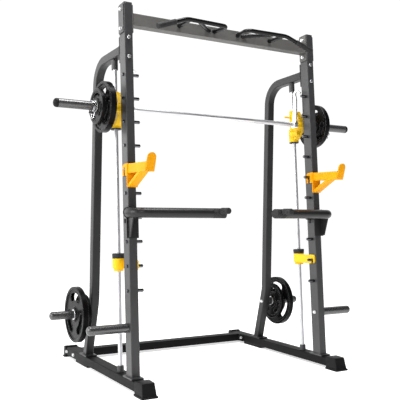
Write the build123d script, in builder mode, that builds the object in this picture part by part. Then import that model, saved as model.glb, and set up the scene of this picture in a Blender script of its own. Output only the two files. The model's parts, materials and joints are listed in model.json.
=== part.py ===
from build123d import *
import os
from math import cos, radians, sin, tan

os.makedirs("parts", exist_ok=True)

# Smith machine with pull-up beam, dip handles, J-hooks and plate storage. Millimetres.
# +X is the right-hand side seen from the front, +Y the back and +Z up.
# The origin is on the floor under the middle of the machine.

# ---------------------------------------------------------------- driving dimensions
half_depth = 640
upright_x = 650
lean_deg = 4.3
upright_foot_y = -420
upright_width = 50
upright_depth = 75
upright_top = 2140
tube_wall = 3
tube_corner = 5
plate_thickness = 6
weld_gap = 0.5

rail_width = 75
rail_height = 50
rail_bottom = 15
rail_front_y = -540
rail_rear_y = 622
foot_plate = 8
crossbar_y = 515
crossbar_width = 75
crossbar_bolt_offset = 62

pin_radius = 9.5
pin_depth = 31
pin_pitch = 133.3
pin_top_height = 1734
pin_count = 10
pin_inner_reach = 43
pin_outer_reach = 8
hole_gap = 0.1

rod_radius = 12.5
rod_depth = 205
bar_radius = 14
bar_depth = 120
bar_height = 1560
bar_tip_x = 1050
running_gap = 0.05

sleeve_radius = 25
sleeve_root_x = 702
sleeve_flange_x = 720

beam_height = 2053
beam_section = (60, 70)
beam_depth = 37

rear_tube = 50
rear_joint_height = 1886
rear_foot_y = 295
rear_kink = (202, 420)
rear_shoulder = (175, 1859)
rear_kink_radius = 260
rear_shoulder_radius = 136

peg_radius = 25
peg_height = 335
front_peg_tip_x = 912
rear_peg_tip_x = 927
rear_peg_y = 219

bolt_radius = 5
bolt_head_height = 6.5
bolt_head_flats = 17
washer_radius = 10.5
washer_thickness = 2
nut_height = 8

# ---------------------------------------------------------------- directions and planes
lean_sin = sin(radians(lean_deg))
lean_cos = cos(radians(lean_deg))
right = Vector(1, 0, 0)
up_the_upright = Vector(0, lean_sin, lean_cos)
behind_the_upright = Vector(0, lean_cos, -lean_sin)


def frame_point(x, depth, height):
    """Point at a depth behind the uprights' front faces and a height along them."""
    return Vector(x, upright_foot_y, 0) + behind_the_upright * depth + up_the_upright * height


def up_plane(x, depth, height):
    """Section plane across the leaning uprights: x is right, y is towards the back."""
    return Plane(origin=frame_point(x, depth, height), x_dir=right, z_dir=up_the_upright)


def side_plane(x, depth, height):
    """Plane facing +X: x runs to the back and y runs up the uprights."""
    return Plane(origin=frame_point(x, depth, height), x_dir=behind_the_upright, z_dir=right)


def front_plane(x, depth, height):
    """Plane facing forwards: x is right and y runs up the uprights."""
    return Plane(origin=frame_point(x, depth, height), x_dir=right, z_dir=-behind_the_upright)


def level_side_plane(x, y, z):
    """Upright plane facing +X: x runs to the back and y runs straight up."""
    return Plane(origin=(x, y, z), x_dir=(0, 1, 0), z_dir=right)


def rail_plane(x, y, z):
    """Plane across a floor rail, facing the back."""
    return Plane(origin=(x, y, z), x_dir=right, z_dir=(0, 1, 0))


# ---------------------------------------------------------------- sketches and saving
def tube_section(plane, width, depth, wall=tube_wall):
    with BuildSketch(plane) as section:
        RectangleRounded(width, depth, tube_corner)
        RectangleRounded(width - 2 * wall, depth - 2 * wall, tube_corner - wall, mode=Mode.SUBTRACT)
    return section.sketch


def block_section(plane, width, depth, corner=3):
    with BuildSketch(plane) as section:
        RectangleRounded(width, depth, corner)
    return section.sketch


def disc(plane, radius):
    with BuildSketch(plane) as section:
        Circle(radius)
    return section.sketch


def ring(plane, outer_radius, inner_radius):
    with BuildSketch(plane) as section:
        Circle(outer_radius)
        Circle(inner_radius, mode=Mode.SUBTRACT)
    return section.sketch


def outline(plane, points):
    with BuildSketch(plane) as section:
        with BuildLine():
            Polyline(points, close=True)
        make_face()
    return section.sketch


def rounded_outline(plane, points, corner):
    with BuildSketch(plane) as section:
        with BuildLine():
            FilletPolyline(points, radius=corner, close=True)
        make_face()
    return section.sketch


def save(part, name):
    part.label = name
    export_step(part, f"parts/{name}.step")


def save_pair(right_hand, name):
    """Writes the right-hand piece and its mirror image."""
    save(right_hand, f"{name}_right")
    with BuildPart() as left_hand:
        mirror(right_hand, about=Plane.YZ)
    save(left_hand.part, f"{name}_left")


# ---------------------------------------------------------------- places of the fasteners
pin_heights = [pin_top_height - pin_pitch * step for step in range(pin_count)]
rail_mid_z = rail_bottom + rail_height / 2
rail_top = rail_bottom + rail_height
foot_top = rail_top + foot_plate
inner_face_x = upright_x - upright_width / 2
outer_face_x = upright_x + upright_width / 2
rail_inner_x = upright_x - rail_width / 2
rail_outer_x = upright_x + rail_width / 2
beam_bolt_offset = 56
rear_bolt_offset = 55
beam_bolt_heights = [beam_height - beam_bolt_offset, beam_height + beam_bolt_offset]
rear_bolt_heights = [rear_joint_height - rear_bolt_offset, rear_joint_height + rear_bolt_offset]
crossbar_bolt_ys = [crossbar_y - crossbar_bolt_offset, crossbar_y + crossbar_bolt_offset]
front_peg_depth = 37
front_peg_along = 336
bolt_hole = bolt_radius + 0.25


def bolt_places():
    """Seat plane and clamped length of each frame bolt on the right-hand side."""
    places = []
    for height in beam_bolt_heights:
        seat = side_plane(outer_face_x + plate_thickness, beam_depth, height)
        places.append((seat, upright_width + 2 * plate_thickness))
    for height in rear_bolt_heights:
        seat = front_plane(upright_x, 0, height)
        places.append((seat, upright_depth + foot_plate))
    for y in crossbar_bolt_ys:
        seat = level_side_plane(rail_outer_x, y, rail_mid_z)
        places.append((seat, rail_width + plate_thickness))
    return places


def peg_bolt_seats():
    """Seat planes of the two bolts that hold the storage pegs, heads towards the middle."""
    front_root = frame_point(inner_face_x, front_peg_depth, front_peg_along)
    rear_root = Vector(inner_face_x, rear_peg_y, peg_height)
    return [Plane(origin=root, z_dir=-right) for root in (front_root, rear_root)]


# ---------------------------------------------------------------- base
with BuildPart() as base_rail:
    extrude(
        tube_section(rail_plane(upright_x, rail_front_y, rail_mid_z), rail_width, rail_height),
        amount=rail_rear_y - rail_front_y,
    )
    for bolt_y in crossbar_bolt_ys:
        drill = disc(level_side_plane(rail_inner_x - 1, bolt_y, rail_mid_z), bolt_hole)
        extrude(drill, amount=rail_width + 2, mode=Mode.SUBTRACT)
save_pair(base_rail.part, "base_rail")

boot_front_y = -587
boot_rear_y = -484
boot_width = 84
boot_height = 75
boot_side_angle = 84.5
boot_toe_ledge = 7
boot_toe_rake = 18
lip_overhang = 6
lip_height = 9
pocket_gap = 0.4


def rail_pocket(start_y):
    """Section of the pocket that takes the end of a base rail."""
    width = rail_width + 2 * pocket_gap
    height = rail_height + 2 * pocket_gap
    return block_section(rail_plane(upright_x, start_y, rail_mid_z), width, height, tube_corner)


def floor_lip(front_y, back_y):
    """Outline of the flange round a foot's base, on the floor."""
    middle = Plane(origin=(upright_x, (front_y + back_y) / 2, 0))
    return block_section(middle, boot_width + 2 * lip_overhang, back_y - front_y, 6)


with BuildPart() as front_boot:
    with BuildSketch(rail_plane(upright_x, boot_rear_y, boot_height / 2)):
        Rectangle(boot_width, boot_height)
    with BuildSketch(rail_plane(upright_x, boot_front_y + boot_toe_ledge, boot_height / 2)):
        Trapezoid(boot_width, boot_height, boot_side_angle, rotation=180)
    loft()
    toe_cut = [
        (boot_front_y, boot_height + 1),
        (boot_front_y + boot_toe_ledge + boot_toe_rake, boot_height + 1),
        (boot_front_y + boot_toe_ledge, lip_height),
        (boot_front_y, lip_height),
    ]
    cut_plane = level_side_plane(upright_x - boot_width, 0, 0)
    extrude(outline(cut_plane, toe_cut), amount=2 * boot_width, mode=Mode.SUBTRACT)
    extrude(floor_lip(boot_front_y, boot_rear_y + lip_overhang / 2), amount=lip_height)
    extrude(rail_pocket(rail_front_y - pocket_gap), amount=200, mode=Mode.SUBTRACT)
save_pair(front_boot.part, "front_boot")

rear_foot_length = 42
rear_foot_ledge = 8
rear_foot_back_y = half_depth - rear_foot_ledge
rear_foot_front_y = half_depth - rear_foot_length
rear_foot_top = 71
rear_foot_chamfer = 8
pad_width = 62
pad_front_y = 225
pad_back_y = 440
with BuildPart() as rear_foot:
    rear_foot_profile = [
        (rear_foot_back_y, 0),
        (rear_foot_back_y, rear_foot_top - rear_foot_chamfer),
        (rear_foot_back_y - rear_foot_chamfer, rear_foot_top),
        (rear_foot_front_y, rear_foot_top),
        (rear_foot_front_y, 0),
    ]
    profile = outline(level_side_plane(upright_x - boot_width / 2, 0, 0), rear_foot_profile)
    extrude(profile, amount=boot_width)
    extrude(floor_lip(rear_foot_front_y - 1, half_depth), amount=lip_height)
    pocket_depth = rail_rear_y - rear_foot_front_y + 2 + pocket_gap
    extrude(rail_pocket(rear_foot_front_y - 2), amount=pocket_depth, mode=Mode.SUBTRACT)
    pad_plane = Plane(origin=(upright_x, (pad_front_y + pad_back_y) / 2, 0))
    extrude(block_section(pad_plane, pad_width, pad_back_y - pad_front_y, 8), amount=rail_bottom)
save_pair(rear_foot.part, "rear_foot")

crossbar_plate_length = 160
vent_radius = 12
with BuildPart() as rear_crossbar:
    tube_half = rail_inner_x - plate_thickness
    section = tube_section(
        level_side_plane(-tube_half, crossbar_y, rail_mid_z), crossbar_width, rail_height
    )
    extrude(section, amount=2 * tube_half)
    for plate_x in (-rail_inner_x, tube_half):
        plate_plane = level_side_plane(plate_x, crossbar_y, rail_mid_z)
        extrude(block_section(plate_plane, crossbar_plate_length, rail_height), amount=plate_thickness)
        extrude(disc(plate_plane, vent_radius), amount=plate_thickness, mode=Mode.SUBTRACT)
        for bolt_y in crossbar_bolt_ys:
            drill = disc(level_side_plane(plate_x, bolt_y, rail_mid_z), bolt_hole)
            extrude(drill, amount=plate_thickness, mode=Mode.SUBTRACT)
save(rear_crossbar.part, "rear_crossbar")

# ---------------------------------------------------------------- front uprights
foot_plate_length = 116
with BuildPart() as front_upright:
    extrude(
        tube_section(up_plane(upright_x, upright_depth / 2, 0), upright_width, upright_depth),
        amount=upright_top,
    )
    split(bisect_by=Plane.XY.offset(foot_top), keep=Keep.TOP)
    foot_y = upright_foot_y + foot_top * tan(radians(lean_deg)) + upright_depth / 2
    foot_plane = Plane.XY.offset(rail_top).move(Location((upright_x, foot_y, 0)))
    extrude(block_section(foot_plane, rail_width - 2, foot_plate_length), amount=foot_plate)
    extrude(disc(foot_plane, vent_radius), amount=foot_plate, mode=Mode.SUBTRACT)
    for height in pin_heights:
        drill = disc(side_plane(inner_face_x - 1, pin_depth, height), pin_radius + hole_gap)
        extrude(drill, amount=upright_width + 2, mode=Mode.SUBTRACT)
    for height in beam_bolt_heights:
        drill = disc(side_plane(inner_face_x - 1, beam_depth, height), bolt_hole)
        extrude(drill, amount=upright_width + 2, mode=Mode.SUBTRACT)
    for height in rear_bolt_heights:
        drill = disc(front_plane(upright_x, upright_depth + 1, height), bolt_hole)
        extrude(drill, amount=upright_depth + 2, mode=Mode.SUBTRACT)
    drill = disc(side_plane(inner_face_x - 1, front_peg_depth, front_peg_along), bolt_hole)
    extrude(drill, amount=upright_width + 2, mode=Mode.SUBTRACT)
save_pair(front_upright.part, "front_upright")

cap_thickness = 4
plug_depth = 18
with BuildPart() as upright_caps:
    for side in (-1, 1):
        seat = up_plane(side * upright_x, upright_depth / 2, upright_top)
        extrude(block_section(seat, upright_width, upright_depth, tube_corner), amount=cap_thickness)
        plug_width = upright_width - 2 * tube_wall - 1
        plug_length = upright_depth - 2 * tube_wall - 1
        extrude(block_section(seat, plug_width, plug_length), amount=-plug_depth)
save(upright_caps.part, "upright_caps")

pin_chamfer = 2
with BuildPart() as hook_pins:
    for height in pin_heights:
        start = side_plane(inner_face_x - pin_inner_reach, pin_depth, height)
        extrude(disc(start, pin_radius), amount=pin_inner_reach + upright_width + pin_outer_reach)
    chamfer(hook_pins.edges().filter_by(GeomType.CIRCLE), pin_chamfer)
save_pair(hook_pins.part, "hook_pins")

# ---------------------------------------------------------------- rear uprights
rear_end = frame_point(upright_x, upright_depth, rear_joint_height)
foot_slope = (rear_foot_y - rear_kink[0]) / (rear_kink[1] - foot_top)
rear_start = (rear_foot_y + foot_slope * foot_plate, rail_top)
with BuildPart() as rear_upright:
    with BuildLine(level_side_plane(upright_x, 0, 0)) as rear_path:
        FilletPolyline(
            rear_start,
            rear_kink,
            rear_shoulder,
            (rear_end.Y, rear_end.Z),
            radius=[rear_kink_radius, rear_shoulder_radius],
        )
    across = Plane(
        origin=rear_path.line @ 0,
        x_dir=right,
        z_dir=rear_path.line % 0,
    )
    sweep(tube_section(across, rear_tube, rear_tube), path=rear_path.line)
    split(bisect_by=Plane.XY.offset(foot_top), keep=Keep.TOP)
    joint_plane = front_plane(upright_x, upright_depth + foot_plate, rear_joint_height)
    split(bisect_by=joint_plane, keep=Keep.BOTTOM)
    extrude(block_section(joint_plane, upright_width, 3 * upright_width), amount=foot_plate)
    foot_plane = Plane(origin=(upright_x, rear_foot_y, rail_top))
    extrude(block_section(foot_plane, rail_width - 2, foot_plate_length), amount=foot_plate)
    for vent_plane in (joint_plane, foot_plane):
        extrude(disc(vent_plane, vent_radius), amount=foot_plate, mode=Mode.SUBTRACT)
    for height in rear_bolt_heights:
        drill = disc(front_plane(upright_x, upright_depth + foot_plate + 1, height), bolt_hole)
        extrude(drill, amount=foot_plate + 2, mode=Mode.SUBTRACT)
    drill = disc(level_side_plane(inner_face_x - 1, rear_peg_y, peg_height), bolt_hole)
    extrude(drill, amount=upright_width + 2, mode=Mode.SUBTRACT)
save_pair(rear_upright.part, "rear_upright")

# ---------------------------------------------------------------- pull-up beam
beam_plate_size = (66, 164)
with BuildPart() as pull_up_beam:
    tube_half = inner_face_x - plate_thickness
    extrude(
        tube_section(side_plane(-tube_half, beam_depth, beam_height), *beam_section),
        amount=2 * tube_half,
    )
    for plate_x in (-inner_face_x, tube_half):
        plate_plane = side_plane(plate_x, beam_depth, beam_height)
        extrude(block_section(plate_plane, *beam_plate_size, 6), amount=plate_thickness)
        extrude(disc(plate_plane, vent_radius), amount=plate_thickness, mode=Mode.SUBTRACT)
        for height in beam_bolt_heights:
            drill = disc(side_plane(plate_x, beam_depth, height), bolt_hole)
            extrude(drill, amount=plate_thickness, mode=Mode.SUBTRACT)
save(pull_up_beam.part, "pull_up_beam")

with BuildPart() as beam_outer_plates:
    for plate_x in (-outer_face_x - plate_thickness, outer_face_x):
        plate_plane = side_plane(plate_x, beam_depth, beam_height)
        extrude(block_section(plate_plane, *beam_plate_size, 6), amount=plate_thickness)
        for height in beam_bolt_heights:
            drill = disc(side_plane(plate_x, beam_depth, height), bolt_hole)
            extrude(drill, amount=plate_thickness, mode=Mode.SUBTRACT)
save(beam_outer_plates.part, "beam_outer_plates")

# ---------------------------------------------------------------- pull-up handles
handle_radius = 12.5
grip_radius = 16
handle_level = 2052
handle_front_y = -391
brace_radius = 12
beam_front_y = frame_point(0, beam_depth - beam_section[0] / 2, beam_height).Y
beam_face = front_plane(0, beam_depth - beam_section[0] / 2, beam_height)
grip_end = Vector(540, -416, 1981)
grip_elbow = Vector(350, -403, handle_level)
inner_corner = Vector(66, handle_front_y, handle_level)
inner_root = Vector(86, beam_front_y + 8, handle_level)
elbow_radius = 120
corner_radius = 36


def straight_tube(start, end, radius):
    """Round bar between two points, added to the part in hand."""
    run = end - start
    extrude(disc(Plane(origin=start, z_dir=run), radius), amount=run.length)


with BuildPart() as pull_up_handle:
    with BuildLine() as handle_path:
        FilletPolyline(
            grip_end, grip_elbow, inner_corner, inner_root, radius=[elbow_radius, corner_radius]
        )
    tube_start = Plane(origin=handle_path.line @ 0, z_dir=handle_path.line % 0)
    sweep(disc(tube_start, handle_radius), path=handle_path.line)
    diagonal_start = Vector(262, handle_front_y, handle_level)
    diagonal_end = Vector(116, beam_front_y + 8, handle_level)
    straight_tube(diagonal_start, diagonal_end, brace_radius)
    support_start = Vector(330, handle_front_y - 7, handle_level - 2)
    support_end = Vector(324, beam_front_y + 8, handle_level - 4)
    straight_tube(support_start, support_end, brace_radius)
    split(bisect_by=beam_face, keep=Keep.TOP)
save_pair(pull_up_handle.part, "pull_up_handle")

grip_length = 125
with BuildPart() as pull_up_grips:
    grip_run = (grip_elbow - grip_end).normalized()
    grip_start = grip_end - grip_run * 3
    for side in (-1, 1):
        foot = Vector(side * grip_start.X, grip_start.Y, grip_start.Z)
        along = Vector(side * grip_run.X, grip_run.Y, grip_run.Z)
        extrude(disc(Plane(origin=foot, z_dir=along), grip_radius), amount=grip_length)
        bore_plane = Plane(origin=foot + along * 3, z_dir=along)
        extrude(disc(bore_plane, handle_radius + hole_gap), amount=grip_length, mode=Mode.SUBTRACT)
save(pull_up_grips.part, "pull_up_grips")

# ---------------------------------------------------------------- guide rods and sockets
socket_radius = 19
socket_length = 60
socket_top_height = 1866
rod_top_height = 1855
with BuildPart() as guide_rod:
    extrude(disc(up_plane(upright_x, rod_depth, 0), rod_radius), amount=rod_top_height)
    split(bisect_by=Plane.XY.offset(rail_top + 2), keep=Keep.TOP)
save_pair(guide_rod.part, "guide_rod")

arm_slope = Vector(0, rear_shoulder[0] - rear_end.Y, rear_shoulder[1] - rear_end.Z)
arm_underside = Plane(
    origin=rear_end - Vector(0, 0, rear_tube / 2 + weld_gap), x_dir=right, z_dir=right.cross(arm_slope)
)
with BuildPart() as rod_sockets:
    for side in (-1, 1):
        socket_bore = rod_radius + hole_gap
        lower_seat = up_plane(side * upright_x, rod_depth, 60)
        extrude(ring(lower_seat, socket_radius, socket_bore), amount=54)
        upper_seat = up_plane(side * upright_x, rod_depth, socket_top_height)
        extrude(ring(upper_seat, socket_radius, socket_bore), amount=-socket_length)
    split(bisect_by=Plane.XY.offset(rail_top + 0.2), keep=Keep.TOP)
    split(bisect_by=arm_underside, keep=Keep.BOTTOM)
save(rod_sockets.part, "rod_sockets")

# ---------------------------------------------------------------- storage pegs
peg_root_gap = 0.2
dome_flat = 7


def domed_peg(root, length, radius):
    """Peg along +X from its root, closed at the tip by a dome, bored for its fixing bolt."""
    with BuildPart() as peg:
        with BuildSketch(root) as half_section:
            with BuildLine():
                straight = length - radius + dome_flat
                foot = Line((0, 0), (0, radius))
                side = Line(foot @ 1, (straight, radius))
                nose = EllipticalCenterArc(
                    (straight, 0), radius - dome_flat, radius, start_angle=0, arc_size=90
                )
                Line(nose @ 0, (0, 0))
            make_face()
        revolve(axis=Axis(root.origin, root.x_dir))
        bolt_bore = Plane(origin=root.origin, z_dir=root.x_dir)
        extrude(disc(bolt_bore, bolt_hole), amount=25, mode=Mode.SUBTRACT)
    return peg.part


front_root = Plane(
    origin=frame_point(outer_face_x + peg_root_gap, front_peg_depth, front_peg_along),
    x_dir=right,
    z_dir=-behind_the_upright,
)
rear_root = Plane(
    origin=(outer_face_x + peg_root_gap, rear_peg_y, peg_height), x_dir=right, z_dir=(0, -1, 0)
)
save_pair(domed_peg(front_root, front_peg_tip_x - outer_face_x, peg_radius), "front_peg")
save_pair(domed_peg(rear_root, rear_peg_tip_x - outer_face_x, peg_radius), "rear_peg")

# ---------------------------------------------------------------- frame bolts and nuts
def hexagon(plane, flats, height):
    with BuildSketch(plane) as section:
        RegularPolygon(flats / 2, 6, major_radius=False)
    extrude(section.sketch, amount=height)


def mirrored(seat):
    """The same seat on the left-hand side of the machine."""
    flipped = Vector(-seat.z_dir.X, seat.z_dir.Y, seat.z_dir.Z)
    return Plane(origin=(-seat.origin.X, seat.origin.Y, seat.origin.Z), z_dir=flipped)


both_bolts = []
for bolt_seat, clamped in bolt_places():
    both_bolts += [(bolt_seat, clamped), (mirrored(bolt_seat), clamped)]
both_peg_seats = []
for bolt_seat in peg_bolt_seats():
    both_peg_seats += [bolt_seat, mirrored(bolt_seat)]
peg_bolt_reach = upright_width + 22

with BuildPart() as frame_bolts:
    for seat, clamped in both_bolts:
        extrude(disc(seat, washer_radius), amount=washer_thickness)
        hexagon(seat.offset(washer_thickness), bolt_head_flats, bolt_head_height)
        extrude(disc(seat, bolt_radius), amount=-(clamped + nut_height + 4))
    for seat in both_peg_seats:
        extrude(disc(seat, washer_radius), amount=washer_thickness)
        hexagon(seat.offset(washer_thickness), bolt_head_flats, bolt_head_height)
        extrude(disc(seat, bolt_radius), amount=-peg_bolt_reach)
save(frame_bolts.part, "frame_bolts")

with BuildPart() as frame_nuts:
    for seat, clamped in both_bolts:
        face = seat.offset(-clamped)
        extrude(disc(face, washer_radius), amount=-washer_thickness)
        hexagon(face.offset(-washer_thickness), bolt_head_flats, -nut_height)
        shank = disc(face, bolt_radius + hole_gap)
        extrude(shank, amount=-(washer_thickness + nut_height), mode=Mode.SUBTRACT)
save(frame_nuts.part, "frame_nuts")

# ---------------------------------------------------------------- carriages on the guide rods
carriage_bottom = -100
carriage_top = 113
carriage_waist = -16
lower_radius = 32
upper_radius = 24
bush_radius = 19
bush_length = 45
boss_radius = 27
boss_half_length = 44
bar_bush_radius = 18
web_width = 40
clamp_x = 625
clamp_radius = 17
clamp_drop = 52
clamp_front_depth = 122
stop_rod_radius = 6
stop_rod_rise = 67
stop_rod_inner_x = 580
seal_height = 6

web_profile = [
    (bar_depth - 8, -24),
    (bar_depth - 8, 30),
    (bar_depth + 34, carriage_top - 12),
    (rod_depth, carriage_top - 12),
    (rod_depth, carriage_bottom + 10),
    (rod_depth - lower_radius + 4, carriage_bottom + 10),
    (bar_depth + 26, -60),
]


def along_rod(x, height):
    """Section plane of a guide rod at a height above the bar."""
    return up_plane(x, rod_depth, bar_height + height)


with BuildPart() as carriage:
    lower_body = disc(along_rod(upright_x, carriage_bottom), lower_radius)
    extrude(lower_body, amount=carriage_waist - carriage_bottom)
    upper_body = disc(along_rod(upright_x, carriage_waist), upper_radius)
    extrude(upper_body, amount=carriage_top - carriage_waist)
    web = outline(side_plane(upright_x - web_width / 2, 0, bar_height), web_profile)
    extrude(web, amount=web_width)
    boss = disc(side_plane(upright_x - boss_half_length, bar_depth, bar_height), boss_radius)
    extrude(boss, amount=2 * boss_half_length)
    clamp = disc(front_plane(clamp_x, rod_depth, bar_height - clamp_drop), clamp_radius)
    extrude(clamp, amount=rod_depth - clamp_front_depth)
    stop_rod = side_plane(stop_rod_inner_x, rod_depth, bar_height + stop_rod_rise)
    extrude(disc(stop_rod, stop_rod_radius), amount=upright_x - stop_rod_inner_x)
    rod_bore = disc(along_rod(upright_x, carriage_bottom), bush_radius + hole_gap)
    extrude(rod_bore, amount=carriage_top - carriage_bottom, mode=Mode.SUBTRACT)
    bar_bore_plane = side_plane(upright_x - boss_half_length, bar_depth, bar_height)
    extrude(
        disc(bar_bore_plane, bar_bush_radius + hole_gap), amount=2 * boss_half_length, mode=Mode.SUBTRACT
    )
save_pair(carriage.part, "carriage")

with BuildPart() as carriage_seals:
    for side in (-1, 1):
        lower_seal = ring(along_rod(side * upright_x, carriage_bottom), lower_radius - 1, rod_radius + 0.5)
        extrude(lower_seal, amount=-seal_height)
save(carriage_seals.part, "carriage_seals")

with BuildPart() as linear_bushes:
    for side in (-1, 1):
        for bush_height in (carriage_bottom, carriage_top - bush_length):
            seat = along_rod(side * upright_x, bush_height)
            extrude(ring(seat, bush_radius, rod_radius + running_gap), amount=bush_length)
save(linear_bushes.part, "linear_bushes")

with BuildPart() as bar_bushes:
    for side in (-1, 1):
        seat = side_plane(side * upright_x - boss_half_length, bar_depth, bar_height)
        extrude(ring(seat, bar_bush_radius, bar_radius + running_gap), amount=2 * boss_half_length)
save(bar_bushes.part, "bar_bushes")

# ---------------------------------------------------------------- bar and sleeves
shaft_end_x = bar_tip_x - 40
with BuildPart() as smith_bar:
    extrude(
        disc(side_plane(-shaft_end_x, bar_depth, bar_height), bar_radius), amount=2 * shaft_end_x
    )
save(smith_bar.part, "smith_bar")

sleeve_end_x = bar_tip_x - 26
flange_radius = 36
flange_width = 14
with BuildPart() as bar_sleeve:
    root = side_plane(sleeve_root_x, bar_depth, bar_height)
    extrude(disc(root, sleeve_radius), amount=sleeve_end_x - sleeve_root_x)
    flange_plane = side_plane(sleeve_flange_x, bar_depth, bar_height)
    extrude(disc(flange_plane, flange_radius), amount=flange_width)
    extrude(disc(root, bar_radius + hole_gap), amount=sleeve_end_x - sleeve_root_x, mode=Mode.SUBTRACT)
save_pair(bar_sleeve.part, "bar_sleeve")

cap_plug = 12
with BuildPart() as sleeve_end_caps:
    for side in (-1, 1):
        rim = Plane(
            origin=frame_point(side * sleeve_end_x, bar_depth, bar_height),
            x_dir=(side, 0, 0),
            z_dir=-behind_the_upright,
        )
        with BuildSketch(rim) as cap_profile:
            with BuildLine():
                dome_start = (bar_tip_x - sleeve_end_x) - (sleeve_radius - dome_flat)
                foot = Line((0, 0), (0, sleeve_radius))
                shoulder = Line(foot @ 1, (dome_start, sleeve_radius))
                nose = EllipticalCenterArc(
                    (dome_start, 0), sleeve_radius - dome_flat, sleeve_radius, start_angle=0, arc_size=90
                )
                Line(nose @ 0, (0, 0))
            make_face()
        revolve(cap_profile.sketch, axis=Axis(rim.origin, rim.x_dir))
        plug = disc(Plane(origin=rim.origin, z_dir=-rim.x_dir), bar_radius - 0.5)
        extrude(plug, amount=cap_plug)
save(sleeve_end_caps.part, "sleeve_end_caps")

# ---------------------------------------------------------------- safety hooks on the bar
# The hook is drawn as it hangs over a pin, then turned back about the bar by the angle
# at which it clears every pin. lifted is how far the bar stands above its racked height.
hook_x = 588
hook_thickness = 10
hook_back_deg = 16
lifted = 12
throat_radius = 12
seat_back = pin_depth - bar_depth
seat_up = pin_top_height - bar_height + lifted + pin_radius - throat_radius
collar_radius = 24
collar_length = 26
collar_x = 578
hook_wall = 13
neck_width = 28
tail_drop = 15


def turned(depth, height, angle_deg):
    """A point beside the bar axis after the bar has turned towards the back."""
    angle = radians(angle_deg)
    return (depth * cos(angle) + height * sin(angle), height * cos(angle) - depth * sin(angle))


def hook_points():
    """Outline of the hook about the bar: up its front edge, round the throat and down its back."""
    crest = seat_up + throat_radius
    neck_front = seat_back + throat_radius
    drawn = [
        (-20, -4),
        (neck_front + 2, seat_up - 34),
        (neck_front, seat_up),
        (neck_front - 5, crest - 1),
        (seat_back - 9, crest - 1),
        (seat_back - 30, seat_up - tail_drop),
        (seat_back - 39, seat_up - tail_drop + 5),
        (seat_back - 16, crest + hook_wall - 4),
        (seat_back + 4, crest + hook_wall),
        (neck_front + neck_width - 12, crest + 4),
        (neck_front + neck_width, seat_up - 34),
        (20, 6),
    ]
    return [turned(depth, height, hook_back_deg) for depth, height in drawn]


with BuildPart() as safety_hook:
    hook_plane = side_plane(hook_x, bar_depth, bar_height)
    extrude(rounded_outline(hook_plane, hook_points(), 2.5), amount=hook_thickness)
    collar_plane = side_plane(collar_x, bar_depth, bar_height)
    extrude(disc(collar_plane, collar_radius), amount=collar_length)
    extrude(disc(collar_plane, bar_radius + hole_gap), amount=collar_length, mode=Mode.SUBTRACT)
    screw_bore = disc(front_plane(collar_x + 5, bar_depth - bar_radius, bar_height), 3 + hole_gap)
    extrude(screw_bore, amount=collar_radius, mode=Mode.SUBTRACT)
save_pair(safety_hook.part, "safety_hook")

with BuildPart() as hook_set_screws:
    for side in (-1, 1):
        screw_plane = front_plane(side * (collar_x + 5), bar_depth - bar_radius - hole_gap, bar_height)
        extrude(disc(screw_plane, 3), amount=collar_radius - bar_radius - 1)
save(hook_set_screws.part, "hook_set_screws")

# ---------------------------------------------------------------- weight plates and spring collars
bore_gap = 0.6
rim_width = 15
hub_radius = 42
web_share = 0.5
window_share = 0.48
window_offset = 0.1
window_sweep = 52
window_starts = (64, 184, 304)


def weight_plate(root, radius, thickness):
    """Tri-grip plate whose inner face lies on the root plane, with its axis along +X."""
    rim_inner = radius - rim_width
    middle = thickness / 2
    web = thickness * web_share / 2
    bore = sleeve_radius + bore_gap
    step = 2
    profile = [
        (0, bore),
        (0, hub_radius - 6),
        (step, hub_radius),
        (middle - web, hub_radius + 4),
        (middle - web, rim_inner - 4),
        (step, rim_inner),
        (step, radius - 2),
        (step + 3, radius),
        (thickness - step - 3, radius),
        (thickness - step, radius - 2),
        (thickness - step, rim_inner),
        (middle + web, rim_inner - 4),
        (middle + web, hub_radius + 4),
        (thickness - step, hub_radius),
        (thickness, hub_radius - 6),
        (thickness, bore),
    ]
    window_radius = (rim_inner + hub_radius) / 2 + (rim_inner - hub_radius) * window_offset
    window_height = (rim_inner - hub_radius) * window_share
    window_arcs = [CenterArc((0, 0), window_radius, start, window_sweep) for start in window_starts]
    with BuildPart() as weight:
        half_plane = Plane(origin=root.origin, x_dir=right, z_dir=-root.x_dir)
        revolve(outline(half_plane, profile), axis=Axis(root.origin, right))
        with BuildSketch(root) as windows:
            for window_arc in window_arcs:
                SlotArc(window_arc, window_height)
        extrude(windows.sketch, amount=thickness, mode=Mode.SUBTRACT)
    return weight.part


large_plate_radius = 143.5
small_plate_radius = 99
large_plate_x = 736
small_plate_x = 780
large_plate_thickness = 40
small_plate_thickness = 28
large_root = side_plane(large_plate_x, bar_depth, bar_height)
small_root = side_plane(small_plate_x, bar_depth, bar_height)
save_pair(weight_plate(large_root, large_plate_radius, large_plate_thickness), "bar_plate_large")
save_pair(weight_plate(small_root, small_plate_radius, small_plate_thickness), "bar_plate_small")

stored_large_radius = 168
stored_small_radius = 122
stored_large_root = level_side_plane(738, rear_peg_y, peg_height)
stored_small_root = level_side_plane(700, rear_peg_y, peg_height)
save_pair(weight_plate(stored_large_root, stored_large_radius, 40), "stored_plate_large")
save_pair(weight_plate(stored_small_root, stored_small_radius, 32), "stored_plate_small")

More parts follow.
